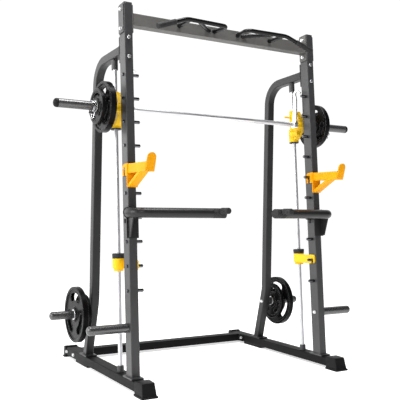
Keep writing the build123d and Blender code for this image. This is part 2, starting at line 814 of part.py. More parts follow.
wire_radius = 3
collar_turns = 3
coil_x = 812
lever_length = 62
with BuildPart() as spring_collar:
    coil_radius = sleeve_radius + wire_radius + bore_gap
    for turn in range(collar_turns):
        centre = frame_point(coil_x + wire_radius * (1.9 * turn + 1), bar_depth, bar_height)
        wire_centre = centre + behind_the_upright * coil_radius
        wire_plane = Plane(origin=wire_centre, x_dir=right, z_dir=up_the_upright)
        revolve(disc(wire_plane, wire_radius), axis=Axis(centre, right))
    for wire_x, swing in ((coil_x + wire_radius, 16), (coil_x + 5.7 * wire_radius, -16)):
        lever_dir = turned(swing, -lever_length, 0)
        foot = frame_point(wire_x, bar_depth + swing * 0.5, bar_height - coil_radius)
        tip = foot + behind_the_upright * lever_dir[0] + up_the_upright * lever_dir[1] + right * 22
        extrude(disc(Plane(origin=foot, z_dir=tip - foot), wire_radius), amount=(tip - foot).length)
        with Locations(tip):
            Sphere(wire_radius + 4)
save_pair(spring_collar.part, "spring_collar")

# ---------------------------------------------------------------- J-hooks
j_pin_height = pin_heights[4]
slot_radius = pin_radius + 0.6
strap_inner = upright_width / 2 + weld_gap
strap_outer = strap_inner + plate_thickness
arm_width = 50
arm_bottom = -23
arm_top = 27
arm_reach = 222
lip_width = 50
strap_chamfer = 14
lip_profile = [(-228, -27), (-246, 30), (-256, 73), (-247, 73), (-237, 30), (-219, -27)]
brace_profile = [(-16, -99), (-160, -23), (-160, -18), (-136, -18), (-10, -84), (-10, -99)]


def hanging_straps(pin_height, low, high, back):
    """Two side straps that straddle the upright, with slots open downwards over the pin."""
    for strap_x in (upright_x - strap_outer, upright_x + strap_inner):
        plane = side_plane(strap_x, 0, pin_height)
        strap = [
            (-plate_thickness, low),
            (back, low),
            (back, high - strap_chamfer),
            (back - strap_chamfer, high),
            (-plate_thickness, high),
        ]
        extrude(outline(plane, strap), amount=plate_thickness)
        slot = [
            (pin_depth - slot_radius, low - 1),
            (pin_depth + slot_radius, low - 1),
            (pin_depth + slot_radius, 0),
            (pin_depth - slot_radius, 0),
        ]
        extrude(outline(plane, slot), amount=plate_thickness, mode=Mode.SUBTRACT)
        crown = disc(side_plane(strap_x, pin_depth, pin_height), slot_radius)
        extrude(crown, amount=plate_thickness, mode=Mode.SUBTRACT)


pin_level = frame_point(0, pin_depth, j_pin_height).Z
face_y = upright_foot_y + pin_level * tan(radians(lean_deg))


def cradle_plane(x):
    """Upright side plane whose origin is on the upright's front face, level with the pin."""
    return level_side_plane(x, face_y, pin_level)


with BuildPart() as j_hook:
    extrude(outline(cradle_plane(upright_x - lip_width / 2), lip_profile), amount=lip_width)
    lip_front = Plane(origin=(upright_x, face_y - 300, pin_level), x_dir=right, z_dir=(0, 1, 0))
    lip_rise = lip_profile[2][1]
    with BuildSketch(lip_front) as lip_face:
        with Locations((0, -lip_rise + lip_width / 2)):
            Circle(lip_width / 2)
        with Locations((0, -lip_rise / 2 + lip_width / 2)):
            Rectangle(lip_width, lip_rise)
    extrude(lip_face.sketch, amount=300, mode=Mode.INTERSECT)
    hanging_straps(j_pin_height, -38, 28, 54)
    saddle_plane = front_plane(upright_x, -weld_gap, j_pin_height - 38)
    extrude(block_section(saddle_plane, 2 * strap_outer, 130, 2), amount=plate_thickness)
    arm_profile = [
        (-plate_thickness + arm_bottom * tan(radians(lean_deg)), arm_bottom),
        (-plate_thickness + arm_top * tan(radians(lean_deg)), arm_top),
        (-arm_reach - 14, arm_top),
        (-arm_reach, arm_bottom),
    ]
    extrude(outline(cradle_plane(upright_x - arm_width / 2), arm_profile), amount=arm_width)
    extrude(outline(cradle_plane(upright_x - arm_width / 2), brace_profile), amount=arm_width)
save_pair(j_hook.part, "j_hook")

# ---------------------------------------------------------------- safety stops
stop_pin_height = pin_heights[8]
stop_bottom = -12
stop_collar_height = 56
stop_radius = 34
stop_ring_radius = 28
stop_ring_height = 15
stop_bore = rod_radius + 0.4
arm_inner_x = inner_face_x - weld_gap - 9
with BuildPart() as safety_stop:
    collar_seat = up_plane(upright_x, rod_depth, stop_pin_height + stop_bottom)
    extrude(disc(collar_seat, stop_radius), amount=stop_collar_height)
    extrude(disc(collar_seat, stop_ring_radius), amount=-stop_ring_height)
    arm_plane = side_plane(arm_inner_x, 0, stop_pin_height)
    arm_profile = [
        (rod_depth - 4, -12),
        (pin_depth + 26, -22),
        (pin_depth - 14, -22),
        (pin_depth - 22, -8),
        (pin_depth - 22, 24),
        (pin_depth - 14, 32),
        (rod_depth - 4, 40),
    ]
    extrude(outline(arm_plane, arm_profile), amount=9)
    notch = [
        (pin_depth - slot_radius, -23),
        (pin_depth + slot_radius, -23),
        (pin_depth + slot_radius, 0),
        (pin_depth - slot_radius, 0),
    ]
    extrude(outline(arm_plane, notch), amount=9, mode=Mode.SUBTRACT)
    crown_plane = side_plane(arm_inner_x, pin_depth, stop_pin_height)
    extrude(disc(crown_plane, slot_radius), amount=9, mode=Mode.SUBTRACT)
    bore_seat = up_plane(upright_x, rod_depth, stop_pin_height + stop_bottom - stop_ring_height)
    extrude(disc(bore_seat, stop_bore), amount=100, mode=Mode.SUBTRACT)
save_pair(safety_stop.part, "safety_stop")

bumper_radius = 36
bumper_height = 30
with BuildPart() as stop_bumper:
    seat = up_plane(upright_x, rod_depth, stop_pin_height + stop_bottom + stop_collar_height)
    extrude(ring(seat, bumper_radius, stop_bore), amount=bumper_height)
    chamfer(stop_bumper.edges().filter_by(GeomType.CIRCLE).group_by(Axis.Z)[-1], 1.5)
save_pair(stop_bumper.part, "stop_bumper")

# ---------------------------------------------------------------- dip handles
dip_pin_height = pin_heights[6]
dip_level = 956
dip_radius = 28
dip_inner_x = 170
dip_sleeve_x = 245
dip_core_radius = 21
dip_inner_y = -538
dip_corner_x = 680
dip_corner_y = -440
dip_bend_radius = 70
dip_plate_low = -115
dip_plate_high = 48
dip_plate_shift = 8
gusset_reach = 76
gusset_toe = 28
gusset_width = 6
stub_x = 213
stub_level = 969
stub_radius = 12
stub_grip_radius = 17.5
stub_length = 100

dip_run = Vector(dip_corner_x - dip_inner_x, dip_corner_y - dip_inner_y, 0)
dip_direction = dip_run.normalized()
dip_inner = Vector(dip_inner_x, dip_inner_y, dip_level)
dip_sleeve_start = dip_inner + dip_direction * ((dip_sleeve_x - dip_inner_x) / dip_direction.X)
dip_corner = Vector(dip_corner_x, dip_corner_y, dip_level)
dip_end_y = upright_foot_y + dip_level * tan(radians(lean_deg)) - plate_thickness
dip_end = Vector(dip_corner_x, dip_end_y, dip_level)
stub_tip = Vector(stub_x, -half_depth, stub_level)
stub_plane = Plane(origin=stub_tip, x_dir=right, z_dir=(0, 1, 0))

with BuildPart() as dip_handle:
    with BuildLine() as dip_path:
        FilletPolyline(dip_sleeve_start, dip_corner, dip_end, radius=dip_bend_radius)
    dip_start = Plane(origin=dip_path.line @ 0, z_dir=dip_path.line % 0)
    sweep(disc(dip_start, dip_radius), path=dip_path.line)
    hanging_straps(dip_pin_height, -30, 32, 54)
    plate_mid = (dip_plate_low + dip_plate_high) / 2
    plate_plane = front_plane(upright_x + dip_plate_shift / 2, -weld_gap, dip_pin_height + plate_mid)
    plate_width = 2 * strap_outer + dip_plate_shift
    plate_height = dip_plate_high - dip_plate_low
    extrude(block_section(plate_plane, plate_width, plate_height, 2), amount=plate_thickness)
    gusset = [
        (-plate_thickness, dip_plate_low + 4),
        (-gusset_toe, dip_plate_low + 4),
        (-gusset_reach, 10),
        (-gusset_reach, 26),
        (-plate_thickness, 26),
    ]
    gusset_plane = side_plane(upright_x + strap_outer - gusset_width, 0, dip_pin_height)
    extrude(outline(gusset_plane, gusset), amount=gusset_width)
    core = Plane(origin=dip_inner + dip_direction * 6, z_dir=dip_direction)
    extrude(disc(core, dip_core_radius), amount=(dip_sleeve_x - dip_inner_x) / dip_direction.X)
    stub_core = Plane(origin=stub_tip + Vector(0, 8, 0), x_dir=right, z_dir=(0, 1, 0))
    extrude(disc(stub_core, stub_radius), amount=stub_length - 8)
save_pair(dip_handle.part, "dip_handle")

grip_gap = 0.2
with BuildPart() as dip_grip:
    sleeve_plane = Plane(origin=dip_inner, z_dir=dip_direction)
    sleeve_length = (dip_sleeve_start - dip_inner).length - grip_gap
    extrude(disc(sleeve_plane, dip_radius), amount=sleeve_length)
    extrude(disc(stub_plane, stub_grip_radius), amount=stub_length - 30)
    fillet(dip_grip.edges().filter_by(GeomType.CIRCLE).group_by(Axis.Y)[0], 3)
    core_bore = Plane(origin=dip_inner + dip_direction * (6 - grip_gap), z_dir=dip_direction)
    extrude(disc(core_bore, dip_core_radius + grip_gap), amount=sleeve_length, mode=Mode.SUBTRACT)
    stub_bore = Plane(origin=stub_tip + Vector(0, 8 - grip_gap, 0), x_dir=right, z_dir=(0, 1, 0))
    extrude(disc(stub_bore, stub_radius + grip_gap), amount=stub_length, mode=Mode.SUBTRACT)
save_pair(dip_grip.part, "dip_grip")
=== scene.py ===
import json
import math
import random

import bmesh
import bpy
from mathutils import Matrix, Vector

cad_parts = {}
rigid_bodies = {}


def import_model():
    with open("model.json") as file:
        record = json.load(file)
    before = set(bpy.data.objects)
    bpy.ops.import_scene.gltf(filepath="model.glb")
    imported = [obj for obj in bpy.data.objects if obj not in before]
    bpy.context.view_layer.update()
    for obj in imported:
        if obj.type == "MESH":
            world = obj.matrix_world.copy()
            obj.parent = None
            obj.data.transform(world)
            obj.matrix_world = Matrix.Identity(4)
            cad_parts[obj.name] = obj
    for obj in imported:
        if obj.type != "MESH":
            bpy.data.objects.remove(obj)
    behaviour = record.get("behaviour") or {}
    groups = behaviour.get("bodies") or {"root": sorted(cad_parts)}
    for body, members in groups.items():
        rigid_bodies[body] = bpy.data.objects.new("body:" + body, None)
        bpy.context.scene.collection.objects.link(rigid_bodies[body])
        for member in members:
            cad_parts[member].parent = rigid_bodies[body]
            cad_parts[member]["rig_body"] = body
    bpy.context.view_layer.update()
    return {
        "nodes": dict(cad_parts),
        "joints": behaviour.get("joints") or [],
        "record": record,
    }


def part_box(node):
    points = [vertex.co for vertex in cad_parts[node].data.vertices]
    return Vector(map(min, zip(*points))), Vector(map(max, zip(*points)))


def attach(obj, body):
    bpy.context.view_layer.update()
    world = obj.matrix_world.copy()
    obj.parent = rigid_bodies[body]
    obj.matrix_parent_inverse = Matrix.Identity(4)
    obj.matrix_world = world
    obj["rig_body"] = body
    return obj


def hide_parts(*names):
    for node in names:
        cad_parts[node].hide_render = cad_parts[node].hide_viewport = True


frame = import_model()
random.seed(7)

MM = 0.001
SIDES = {"left": -1, "right": 1}
JOINTS = {joint["name"]: joint for joint in frame["joints"]}
SLOT_OF = {part["node"]: part["material_slot"] for part in frame["record"]["subparts"]}

# ------------------------------------------------------------------ places, in metres
RIGHT = Vector((1, 0, 0))
Y = Vector((0, 1, 0))
Z = Vector((0, 0, 1))
UP = Vector(JOINTS["bar_travel"]["axis"]).normalized()
BACK = Vector((0, UP.z, -UP.y))
LEAN = math.atan2(UP.y, UP.z)
BAR_CENTRE = Vector(JOINTS["bar_twist"]["pos_m"])
FOOT_Y = -420 * MM
UPRIGHT_X = 650 * MM
ROD_DEPTH = 205 * MM
SLEEVE_RADIUS = 25 * MM
RAIL_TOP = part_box("base_rail_right")[1].z
FOOT_TOP = RAIL_TOP + 8 * MM


def at(x, depth, height):
    """A point at a depth behind the uprights' front faces and a height along them."""
    return Vector((x, FOOT_Y, 0)) + BACK * depth + UP * height


def centre_of(node):
    low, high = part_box(node)
    return (low + high) / 2


# ------------------------------------------------------------------ node materials
class Shader:
    """A material's node tree, with short calls for the nodes that it needs."""

    def __init__(self, name):
        self.material = bpy.data.materials.new(name)
        self.material.use_nodes = True
        self.tree = self.material.node_tree
        self.shader = self.tree.nodes["Principled BSDF"]
        self.coord = self.tree.nodes.new("ShaderNodeTexCoord").outputs["Object"]

    def node(self, kind, **settings):
        made = self.tree.nodes.new("ShaderNode" + kind)
        for key, value in settings.items():
            setattr(made, key, value)
        return made

    def link(self, source, target):
        self.tree.links.new(source, target)

    def feed(self, socket, value):
        if isinstance(value, bpy.types.NodeSocket):
            self.link(value, socket)
        else:
            socket.default_value = value

    def noise(self, scale, detail=3.0, rough=0.5, vector=None):
        made = self.node("TexNoise")
        self.link(vector or self.coord, made.inputs["Vector"])
        made.inputs["Scale"].default_value = scale
        made.inputs["Detail"].default_value = detail
        made.inputs["Roughness"].default_value = rough
        return made.outputs["Fac"]

    def math(self, operation, a, b=0.0):
        made = self.node("Math", operation=operation)
        self.feed(made.inputs[0], a)
        self.feed(made.inputs[1], b)
        return made.outputs[0]

    def span(self, value, low, high, to_low, to_high):
        made = self.node("MapRange")
        self.link(value, made.inputs["Value"])
        for key, number in (("From Min", low), ("From Max", high), ("To Min", to_low), ("To Max", to_high)):
            made.inputs[key].default_value = number
        return made.outputs[0]

    def spread(self, noise, low, high):
        """Noise gathers round its middle: this stretches its usual range from low to high."""
        return self.span(noise, 0.3, 0.7, low, high)

    def mix(self, factor, a, b):
        made = self.node("Mix", data_type="RGBA")
        self.feed(made.inputs[0], factor)
        self.feed(made.inputs[6], a)
        self.feed(made.inputs[7], b)
        return made.outputs[2]

    def edges(self, radius):
        """Rounded normals at the edges, and a mask that is 1 on them."""
        rounded = self.node("Bevel", samples=4)
        rounded.inputs["Radius"].default_value = radius
        geometry = self.node("NewGeometry")
        turn = self.node("VectorMath", operation="DOT_PRODUCT")
        self.link(rounded.outputs[0], turn.inputs[0])
        self.link(geometry.outputs["Normal"], turn.inputs[1])
        mask = self.span(turn.outputs["Value"], 0.985, 0.8, 0.0, 1.0)
        return rounded.outputs[0], mask

    def bump(self, height, distance, strength=1.0, normal=None):
        made = self.node("Bump")
        self.feed(made.inputs["Height"], height)
        made.inputs["Distance"].default_value = distance
        made.inputs["Strength"].default_value = strength
        if normal is not None:
            self.link(normal, made.inputs["Normal"])
        return made.outputs[0]

    def finish(self, colour, roughness, normal, **constants):
        self.feed(self.shader.inputs["Base Color"], colour)
        self.feed(self.shader.inputs["Roughness"], roughness)
        self.link(normal, self.shader.inputs["Normal"])
        for key, value in constants.items():
            self.shader.inputs[key.replace("_", " ")].default_value = value
        return self.material


def rgba(r, g, b):
    return (r, g, b, 1.0)


def powder_coat(name, colour, worn, rough, specular=0.5, peel=0.12 * MM):
    """Paint with orange peel, faint cloudiness, fine scuffs and paler edges."""
    s = Shader(name)
    normal, edge = s.edges(1.6 * MM)
    cloud = s.spread(s.noise(5.0, 4.0), 0.0, 1.0)
    darker = rgba(*[c * 0.82 for c in colour])
    body = s.mix(cloud, darker, rgba(*colour))
    chips = s.math("MULTIPLY", edge, s.span(s.noise(90.0, 5.0, 0.7), 0.42, 0.62, 0.0, 1.0))
    painted = s.mix(s.math("MULTIPLY", chips, 0.55), body, rgba(*worn))
    scuffs = s.span(s.noise(34.0, 8.0, 0.75), 0.55, 0.72, 0.0, 0.14)
    gloss = s.spread(s.noise(160.0, 3.0), rough - 0.05, rough + 0.05)
    roughness = s.math("ADD", gloss, scuffs)
    grain = s.bump(s.noise(620.0, 2.0), peel, 0.55, normal)
    return s.finish(painted, roughness, grain, Specular_IOR_Level=specular)


def chrome(name, dark=(0.36, 0.365, 0.375), light=(0.5, 0.5, 0.51), haze=0.0):
    """Chrome with hand smudges and very fine drawn lines. haze takes it from polished to satin."""
    s = Shader(name)
    normal, _ = s.edges(0.8 * MM)
    smudge = s.span(s.noise(26.0, 5.0, 0.6), 0.35, 0.75, 0.05 + haze, 0.2 + haze)
    tint = s.mix(s.noise(9.0), rgba(*dark), rgba(*light))
    lines = s.bump(s.noise(1500.0, 2.0), 0.02 * MM, 0.15, normal)
    return s.finish(tint, smudge, lines, Metallic=1.0)


KNURL_START = 0.26
KNURL_END = 0.56
KNURL_ALONG = 4200.0
KNURL_AROUND = 48.0


def knurled_chrome(name):
    """The bar's satin chrome, with a band of diamond knurling on each side of the middle."""
    s = Shader(name)
    split = s.node("SeparateXYZ")
    s.link(s.coord, split.inputs[0])
    x, y, z = split.outputs
    from_axis = [s.math("SUBTRACT", y, BAR_CENTRE.y), s.math("SUBTRACT", z, BAR_CENTRE.z)]
    angle = s.math("ARCTAN2", *from_axis)
    along = s.math("MULTIPLY", x, KNURL_ALONG)
    around = s.math("MULTIPLY", angle, KNURL_AROUND)
    first = s.math("SINE", s.math("ADD", along, around))
    second = s.math("SINE", s.math("SUBTRACT", along, around))
    ridges = s.math("MAXIMUM", first, second)
    reach = s.math("ABSOLUTE", x)
    inside = s.math("GREATER_THAN", reach, KNURL_START)
    band = s.math("MULTIPLY", inside, s.math("LESS_THAN", reach, KNURL_END))
    normal, _ = s.edges(0.8 * MM)
    knurl = s.bump(s.math("MULTIPLY", ridges, band), 0.12 * MM, 0.5, normal)
    smudge = s.span(s.noise(22.0, 5.0), 0.35, 0.75, 0.34, 0.44)
    roughness = s.math("ADD", smudge, s.math("MULTIPLY", band, 0.1))
    tint = s.mix(band, rgba(0.74, 0.74, 0.76), rgba(0.66, 0.66, 0.68))
    return s.finish(tint, roughness, knurl, Metallic=1.0)


def zinc(name):
    """Bright zinc plate with its cloudy crystal mottling."""
    s = Shader(name)
    normal, edge = s.edges(0.7 * MM)
    cells = s.node("TexVoronoi")
    s.link(s.coord, cells.inputs["Vector"])
    cells.inputs["Scale"].default_value = 260.0
    mottle = s.span(cells.outputs["Distance"], 0.0, 0.7, 0.0, 1.0)
    tint = s.mix(mottle, rgba(0.74, 0.75, 0.77), rgba(0.9, 0.9, 0.91))
    tint = s.mix(s.math("MULTIPLY", edge, 0.5), tint, rgba(0.97, 0.97, 0.97))
    roughness = s.spread(s.noise(120.0, 4.0), 0.22, 0.4)
    grain = s.bump(s.noise(900.0, 3.0), 0.04 * MM, 0.5, normal)
    return s.finish(tint, roughness, grain, Metallic=1.0)


def ground_metal(name, colour):
    """Turned or ground metal with fine lines along the guide rods."""
    s = Shader(name)
    normal, _ = s.edges(0.6 * MM)
    stretch = s.node("Mapping")
    s.link(s.coord, stretch.inputs["Vector"])
    stretch.inputs["Scale"].default_value = (900.0, 900.0, 40.0)
    lines = s.noise(1.0, 4.0, 0.6, stretch.outputs[0])
    tint = s.mix(lines, rgba(*[c * 0.8 for c in colour]), rgba(*colour))
    roughness = s.spread(lines, 0.2, 0.38)
    grain = s.bump(lines, 0.03 * MM, 0.5, normal)
    return s.finish(tint, roughness, grain, Metallic=1.0)


def cast_enamel(name):
    """Black enamel that follows the pebbled skin of the casting, with painted highlights along its edges.
    """
    s = Shader(name)
    normal, edge = s.edges(2.2 * MM)
    pebble = s.noise(260.0, 4.0, 0.6)
    lumps = s.noise(60.0, 2.0)
    cloud = s.spread(s.noise(14.0, 3.0), 0.0, 1.0)
    body = s.mix(cloud, rgba(0.002, 0.002, 0.0022), rgba(0.005, 0.005, 0.0054))
    # Painted highlight: the edges are lightened towards pale grey, broken up by noise, to stand for the
    # light they catch.
    painted_edge_highlight = s.math("MULTIPLY", edge, s.span(s.noise(70.0, 5.0, 0.7), 0.3, 0.6, 0.2, 1.0))
    tint = s.mix(s.math("MULTIPLY", painted_edge_highlight, 0.85), body, rgba(0.3, 0.3, 0.31))
    roughness = s.spread(pebble, 0.2, 0.34)
    skin = s.bump(lumps, 0.4 * MM, 0.35, normal)
    skin = s.bump(pebble, 0.22 * MM, 0.5, skin)
    return s.finish(tint, roughness, skin, Specular_IOR_Level=0.07)


def rubber(name):
    """Moulded rubber: fine grain, a little dust and no shine."""
    s = Shader(name)
    normal, edge = s.edges(1.2 * MM)
    dust = s.span(s.noise(42.0, 6.0, 0.7), 0.5, 0.8, 0.0, 0.5)
    tint = s.mix(dust, rgba(0.016, 0.016, 0.017), rgba(0.05, 0.05, 0.052))
    tint = s.mix(s.math("MULTIPLY", edge, 0.3), tint, rgba(0.07, 0.07, 0.07))
    grain = s.bump(s.noise(1100.0, 3.0), 0.12 * MM, 0.6, normal)
    roughness = s.spread(s.noise(200.0), 0.62, 0.82)
    return s.finish(tint, roughness, grain, Specular_IOR_Level=0.35)


def moulded_plastic(name):
    """Injection-moulded plastic with a spark-eroded texture."""
    s = Shader(name)
    normal, edge = s.edges(1.4 * MM)
    cells = s.node("TexVoronoi")
    s.link(s.coord, cells.inputs["Vector"])
    cells.inputs["Scale"].default_value = 900.0
    tint = s.mix(s.noise(8.0, 4.0), rgba(0.004, 0.004, 0.0045), rgba(0.009, 0.009, 0.0095))
    tint = s.mix(s.math("MULTIPLY", edge, 0.35), tint, rgba(0.07, 0.07, 0.07))
    grain = s.bump(cells.outputs["Distance"], 0.1 * MM, 0.5, normal)
    roughness = s.spread(s.noise(130.0), 0.42, 0.58)
    return s.finish(tint, roughness, grain, Specular_IOR_Level=0.12)


def studio_floor(name):
    """Pale seamless floor with the faintest mottling."""
    s = Shader(name)
    tint = s.mix(s.noise(1.3, 5.0), rgba(0.86, 0.86, 0.86), rgba(0.9, 0.9, 0.9))
    roughness = s.spread(s.noise(6.0), 0.75, 0.9)
    grain = s.bump(s.noise(240.0, 3.0), 0.2 * MM, 0.15)
    return s.finish(tint, roughness, grain, Emission_Color=rgba(1, 1, 1), Emission_Strength=0.58)


MATERIALS = {
    "frame_paint": powder_coat("frame_paint", (0.034, 0.034, 0.036), (0.16, 0.16, 0.165), 0.38, 0.5),
    # Painted shade: a darker, duller copy of the frame paint, for the base rails and the rear crossbar.
    "shaded_base_paint": powder_coat("shaded_base_paint", (0.005, 0.005, 0.0053), (0.06, 0.06, 0.06), 0.5, 0.08),
    # Painted light: a much lighter copy of the frame paint, for the pull-up beam.
    "lit_beam_paint": powder_coat("lit_beam_paint", (0.1, 0.098, 0.093), (0.24, 0.24, 0.24), 0.46, 0.4),
    "handle_paint": powder_coat("handle_paint", (0.004, 0.004, 0.0045), (0.1, 0.1, 0.1), 0.2, 0.22),
    "yellow_paint": powder_coat("yellow_paint", (0.88, 0.53, 0.008), (0.95, 0.75, 0.2), 0.4, 0.2),
    "amber_paint": powder_coat("amber_paint", (0.82, 0.34, 0.001), (0.95, 0.56, 0.1), 0.44, 0.08),
    "black_steel": powder_coat(
        "black_steel", (0.03, 0.03, 0.032), (0.24, 0.24, 0.24), 0.28, 1.0, 0.05 * MM
    ),
    # Painted shade: a darker copy of the frame paint, for the rear uprights.
    "shaded_rear_paint": powder_coat("shaded_rear_paint", (0.018, 0.018, 0.019), (0.14, 0.14, 0.145), 0.4, 0.3),
    "chrome_steel": chrome("chrome_steel"),
    "rod_chrome": chrome("rod_chrome", (0.56, 0.56, 0.58), (0.66, 0.66, 0.68), 0.34),
    "satin_black": powder_coat("satin_black", (0.014, 0.014, 0.0145), (0.12, 0.12, 0.12), 0.34, 0.3),
    # Painted shade: chrome darkened for the hook pins, standing for the dark surroundings they reflect.
    "shaded_chrome": chrome("shaded_chrome", (0.08, 0.08, 0.085), (0.15, 0.15, 0.16)),
    "knurled_chrome": knurled_chrome("knurled_chrome"),
    "zinc_steel": zinc("zinc_steel"),
    "bush_steel": ground_metal("bush_steel", (0.6, 0.6, 0.62)),
    "bush_bronze": ground_metal("bush_bronze", (0.6, 0.42, 0.17)),
    "plate_iron": cast_enamel("plate_iron"),
    "black_rubber": rubber("black_rubber"),
    "black_plastic": moulded_plastic("black_plastic"),
}


# Nodes whose finish isn't the usual one of their slot
OWN_FINISH = {"smith_bar": "knurled_chrome", "pull_up_beam": "lit_beam_paint", "rear_crossbar": "shaded_base_paint"}
SIDE_FINISH = {
    "base_rail": "shaded_base_paint",
    "rear_upright": "shaded_rear_paint",
    "j_hook": "amber_paint",
    "hook_pins": "shaded_chrome",
    "guide_rod": "rod_chrome",
    "dip_handle": "satin_black",
}
for side in SIDES:
    OWN_FINISH.update({f"{node}_{side}": finish for node, finish in SIDE_FINISH.items()})
for node_name, slot_name in SLOT_OF.items():
    finish = MATERIALS[OWN_FINISH.get(node_name, slot_name)]
    for node_slot in frame["nodes"][node_name].material_slots:
        node_slot.material = finish


# ------------------------------------------------------------------ mesh helpers
def add_piece(name, mesh, slot, body, replaced=(), finish=None, sharp_deg=35):
    """Links a mesh as a visible piece that rides on a body and may stand for CAD nodes."""
    piece = bpy.data.objects.new(name, mesh)
    bpy.context.scene.collection.objects.link(piece)
    mesh.materials.clear()
    mesh.materials.append(MATERIALS[finish or slot])
    mesh.shade_smooth()
    mesh.set_sharp_from_angle(angle=math.radians(sharp_deg))
    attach(piece, body)
    if replaced:
        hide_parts(*replaced)


class Build:
    """Collects rings, caps and tubes into one mesh."""

    def __init__(self):
        self.points = []
        self.faces = []

    def ring(self, points):
        start = len(self.points)
        self.points += [tuple(p) for p in points]
        return list(range(start, start + len(points)))

    def bridge(self, a, b):
        count = len(a)
        for i in range(count):
            j = (i + 1) % count
            self.faces.append((a[i], a[j], b[j], b[i]))

    def cap(self, ring, flip=False):
        self.faces.append(tuple(reversed(ring)) if flip else tuple(ring))

    def tube(self, path, radius, sides=10, closed=False):
        """A round tube along a path. radius is a number or a function of the length along it."""
        size = radius if callable(radius) else lambda s: radius
        count = len(path)
        tangents = []
        for i in range(count):
            before = path[(i - 1) % count] if closed or i else path[0]
            after = path[(i + 1) % count] if closed or i < count - 1 else path[-1]
            tangents.append((after - before).normalized())
        side = tangents[0].orthogonal().normalized()
        rings = []
        travelled = 0.0
        for i, (point, tangent) in enumerate(zip(path, tangents)):
            if i:
                travelled += (point - path[i - 1]).length
            side = (side - tangent * side.dot(tangent)).normalized()
            other = tangent.cross(side)
            r = size(travelled)
            angles = [2 * math.pi * k / sides for k in range(sides)]
            around = [side * (math.cos(a) * r) + other * (math.sin(a) * r) for a in angles]
            rings.append(self.ring([point + spoke for spoke in around]))
        for a, b in zip(rings, rings[1:]):
            self.bridge(a, b)
        if closed:
            twist = self.best_twist(rings[-1], rings[0])
            self.bridge(rings[-1], rings[0][twist:] + rings[0][:twist])
        else:
            self.cap(rings[0], flip=True)
            self.cap(rings[-1])

    def best_twist(self, ring, other):
        first = Vector(self.points[ring[0]])
        return min(range(len(other)), key=lambda k: (Vector(self.points[other[k]]) - first).length)

    def lathe(self, origin, axis, profile, sides, wave=None):
        """Revolves (distance along the axis, radius) pairs. wave adds to the radius."""
        axis = axis.normalized()
        side = axis.orthogonal().normalized()
        other = axis.cross(side)
        angles = [2 * math.pi * k / sides for k in range(sides)]
        rings = []
        for along, radius in profile:
            centre = origin + axis * along
            points = []
            for a in angles:
                r = radius + (wave(along, a) if wave else 0.0)
                points.append(centre + side * (math.cos(a) * r) + other * (math.sin(a) * r))
            rings.append(self.ring(points))
        for a, b in zip(rings, rings[1:]):
            self.bridge(a, b)

    def add(self, name, *settings, **more):
        """Makes the mesh and links it, with the settings of add_piece."""
        add_piece(name, self.mesh(name), *settings, **more)

    def mesh(self, name):
        made = bpy.data.meshes.new(name)
        made.from_pydata(self.points, [], self.faces)
        work = bmesh.new()
        work.from_mesh(made)
        bmesh.ops.remove_doubles(work, verts=work.verts, dist=1e-6)
        bmesh.ops.recalc_face_normals(work, faces=work.faces)
        work.to_mesh(made)
        work.free()
        return made


def softened(node, width):
    """Adds the CAD node's mesh with its edges rounded, to stand for the node."""
    source = frame["nodes"][node]
    mesh = source.data.copy()
    work = bmesh.new()
    work.from_mesh(mesh)
    bmesh.ops.remove_doubles(work, verts=work.verts, dist=2e-6)
    bmesh.ops.dissolve_limit(work, angle_limit=math.radians(1.0), verts=work.verts, edges=work.edges)
    work.to_mesh(mesh)
    work.free()
    for name in [a.name for a in mesh.attributes if "normal" in a.name]:
        mesh.attributes.remove(mesh.attributes[name])
    holder = bpy.data.objects.new("softening", mesh)
    bpy.context.scene.collection.objects.link(holder)
    bevel = holder.modifiers.new("edges", "BEVEL")
    bevel.width = width
    bevel.segments = 3
    bevel.limit_method = "ANGLE"
    bevel.angle_limit = math.radians(32)
    bevel.use_clamp_overlap = True
    graph = bpy.context.evaluated_depsgraph_get()
    rounded = bpy.data.meshes.new_from_object(holder.evaluated_get(graph))
    bpy.data.objects.remove(holder)
    rounded.name = node + "_rounded"
    add_piece(node + "_rounded", rounded, SLOT_OF[node], source["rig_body"], [node])


def circle(centre, across, along, radius, count=28):
    angles = [2 * math.pi * k / count for k in range(count)]
    return [centre + across * (radius * math.cos(a)) + along * (radius * math.sin(a)) for a in angles]


# ------------------------------------------------------------------ moulded feet and caps
for side in SIDES:
    softened(f"front_boot_{side}", 5 * MM)
    softened(f"rear_foot_{side}", 4 * MM)
softened("upright_caps", 1.5 * MM)

# ------------------------------------------------------------------ weight plates
PLATE_RIM = 15 * MM
PLATE_HUB = 42 * MM
WINDOW_SHARE = 0.48
WINDOW_OFFSET = 0.1
WINDOW_SWEEP = 52
WINDOW_STARTS = (64, 184, 304)
WINDOW_LIP = 2.6 * MM
LIP_PROUD = 0.4 * MM
RING_GAPS = (6 * MM, 5 * MM)
RING_BEAD = 1.5 * MM
INSERT_PROUD = 0.7 * MM
INSERT_WALL = 6 * MM
BORE_CLEARANCE = 0.62 * MM


def slot_outline(radius, height, start_deg, sweep_deg):
    """Points of an arc slot's outline as (sideways, up) pairs."""
    half = height / 2
    start = math.radians(start_deg)
    sweep = math.radians(sweep_deg)
    outer = [(radius + half, start + sweep * k / 16) for k in range(17)]
    inner = [(radius - half, start + sweep * (1 - k / 16)) for k in range(17)]
    points = [(r * math.cos(a), r * math.sin(a)) for r, a in outer]
    points += end_turn(radius, half, start + sweep, 0)
    points += [(r * math.cos(a), r * math.sin(a)) for r, a in inner]
    points += end_turn(radius, half, start, math.pi)
    return points


def end_turn(radius, half, angle, turned):
    """The half circle that closes one end of an arc slot."""
    centre = (radius * math.cos(angle), radius * math.sin(angle))
    swing = [angle + turned + math.pi * k / 10 for k in range(1, 10)]
    return [(centre[0] + half * math.cos(a), centre[1] + half * math.sin(a)) for a in swing]


